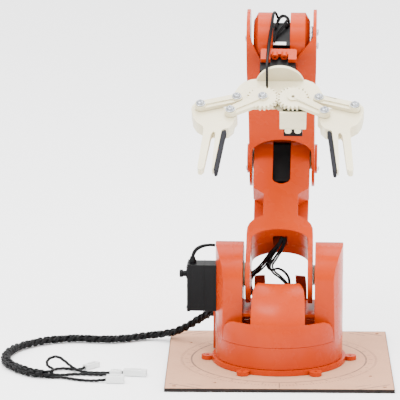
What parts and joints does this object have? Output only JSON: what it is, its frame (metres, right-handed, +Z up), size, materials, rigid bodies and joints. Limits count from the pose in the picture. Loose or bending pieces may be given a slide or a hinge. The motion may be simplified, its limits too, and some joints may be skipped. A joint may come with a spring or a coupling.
{
  "type": "robot arm",
  "caption": "Desktop servo robot arm: rotating turret, hinged hollow links, pitching and rolling wrist and geared gripper on a square board, with a braided cable.",
  "frame": {"origin": "on the underside of the square board, on the turret's turning axis", "axes": "+Z up along the turret's axis; the board's sides are square to X and Y, and the arm's front faces -Y"},
  "size_m": [0.3494, 0.2281, 0.3132],
  "materials": {
    "orange": "semi-gloss moulded plastic, orange",
    "cream": "satin moulded plastic, ivory",
    "servo_black": "fine-textured black servo case",
    "lead": "black soft wire insulation",
    "pad_rubber": "dark grey foam rubber",
    "nylon": "natural white nylon",
    "board": "bare fibreboard with a scorched cut edge",
    "steel": "bright zinc-plated steel screws"
  },
  "bodies": {
    "base": {"base_board": "board", "base_ring": "orange", "base_servo": "servo_black", "harness_braid": "lead", "harness_lead_1": "lead", "harness_lead_2": "lead", "harness_lead_3": "lead", "harness_lead_4": "lead", "harness_connector_1": "nylon", "harness_connector_2": "nylon", "harness_connector_3": "nylon", "harness_connector_4": "nylon"},
    "turret": {"turret_body": "orange", "turret_front_cover": "orange", "turret_rear_cover": "orange", "base_horn": "cream", "shoulder_servo": "servo_black", "shoulder_servo_lead": "lead", "shoulder_lead_left": "lead", "shoulder_lead_right": "lead"},
    "upper_arm": {"upper_arm_front": "orange", "upper_arm_rear": "orange", "shoulder_horn": "cream", "shoulder_bush": "cream", "elbow_servo": "servo_black"},
    "forearm": {"forearm_front": "orange", "forearm_rear": "orange", "elbow_horn_right": "cream", "elbow_horn_left": "cream", "elbow_screw_right": "steel", "elbow_screw_left": "steel", "wrist_horn_right": "steel", "wrist_screw_left": "steel"},
    "wrist": {"wrist_shell_left": "orange", "wrist_shell_right": "orange", "wrist_pitch_servo": "servo_black", "roll_servo_clamp": "orange", "wrist_roll_servo": "servo_black", "gripper_lead": "lead"},
    "gripper": {"roll_horn": "cream", "gripper_frame": "cream", "gripper_servo": "servo_black", "screw_gear_left": "steel", "screw_link_right": "steel", "screw_link_left": "steel"},
    "gear_right": {"gear_lever_right": "cream", "screw_lever_right": "steel"},
    "gear_left": {"gear_lever_left": "cream", "screw_lever_left": "steel"},
    "link_right": {"link_right": "cream", "screw_finger_right": "steel"},
    "link_left": {"link_left": "cream", "screw_finger_left": "steel"},
    "finger_right": {"finger_right": "cream", "pad_right": "pad_rubber"},
    "finger_left": {"finger_left": "cream", "pad_left": "pad_rubber"}
  },
  "joints": [
    {"name": "base_yaw", "type": "hinge", "parent": "base", "child": "turret", "pos_m": [0, 0, 0.045], "axis": [0, 0, 1], "range_deg": [-88.2, 91.8]},
    {"name": "shoulder_pitch", "type": "hinge", "parent": "turret", "child": "upper_arm", "pos_m": [0, 0, 0.081], "axis": [0.9995, -0.0314, 0], "range_deg": [-28, 116], "deforming": ["shoulder_lead_left", "shoulder_lead_right"]},
    {"name": "elbow_pitch", "type": "hinge", "parent": "upper_arm", "child": "forearm", "pos_m": [0.00278, 0.08835, 0.16939], "axis": [-0.9995, 0.0314, 0], "range_deg": [-25, 155]},
    {"name": "wrist_pitch", "type": "hinge", "parent": "forearm", "child": "wrist", "pos_m": [0.00143, 0.04561, 0.28685], "axis": [0.9995, -0.0314, 0], "range_deg": [-175, 5]},
    {"name": "wrist_roll", "type": "hinge", "parent": "wrist", "child": "gripper", "pos_m": [-0.00016, -0.00524, 0.25505], "axis": [-0.0266, -0.8476, -0.5299], "range_deg": [-90, 90], "deforming": ["gripper_lead"]},
    {"name": "gripper_drive", "type": "hinge", "parent": "gripper", "child": "gear_right", "pos_m": [0.01079, -0.03857, 0.24743], "axis": [0.0166, 0.5297, -0.848], "range_deg": [0, 57]},
    {"name": "gear_left_turn", "type": "hinge", "parent": "gripper", "child": "gear_left", "pos_m": [-0.01559, -0.03774, 0.24743], "axis": [0.0166, 0.5297, -0.848], "range_deg": [-58, 1]},
    {"name": "link_right_turn", "type": "hinge", "parent": "gripper", "child": "link_right", "pos_m": [0.03316, -0.04012, 0.2469], "axis": [0.0166, 0.5297, -0.848], "range_deg": [-1, 65.2]},
    {"name": "link_left_turn", "type": "hinge", "parent": "gripper", "child": "link_left", "pos_m": [-0.03801, -0.03789, 0.2469], "axis": [0.0166, 0.5297, -0.848], "range_deg": [-65.2, 1]},
    {"name": "finger_right_turn", "type": "hinge", "parent": "gear_right", "child": "finger_right", "pos_m": [0.0378, -0.05469, 0.23789], "axis": [0.0166, 0.5297, -0.848], "range_deg": [-41.5, 1]},
    {"name": "finger_left_turn", "type": "hinge", "parent": "gear_left", "child": "finger_left", "pos_m": [-0.04356, -0.05214, 0.23789], "axis": [0.0166, 0.5297, -0.848], "range_deg": [-1, 41.5]}
  ],
  "couplings": [
    {"joint": "gear_left_turn", "follows": "gripper_drive", "ratio": -1},
    {"joint": "link_right_turn", "follows": "gripper_drive", "ratio": 1.127},
    {"joint": "link_left_turn", "follows": "gripper_drive", "ratio": -1.127},
    {"joint": "finger_right_turn", "follows": "gripper_drive", "ratio": -0.711},
    {"joint": "finger_left_turn", "follows": "gripper_drive", "ratio": 0.711}
  ]
}
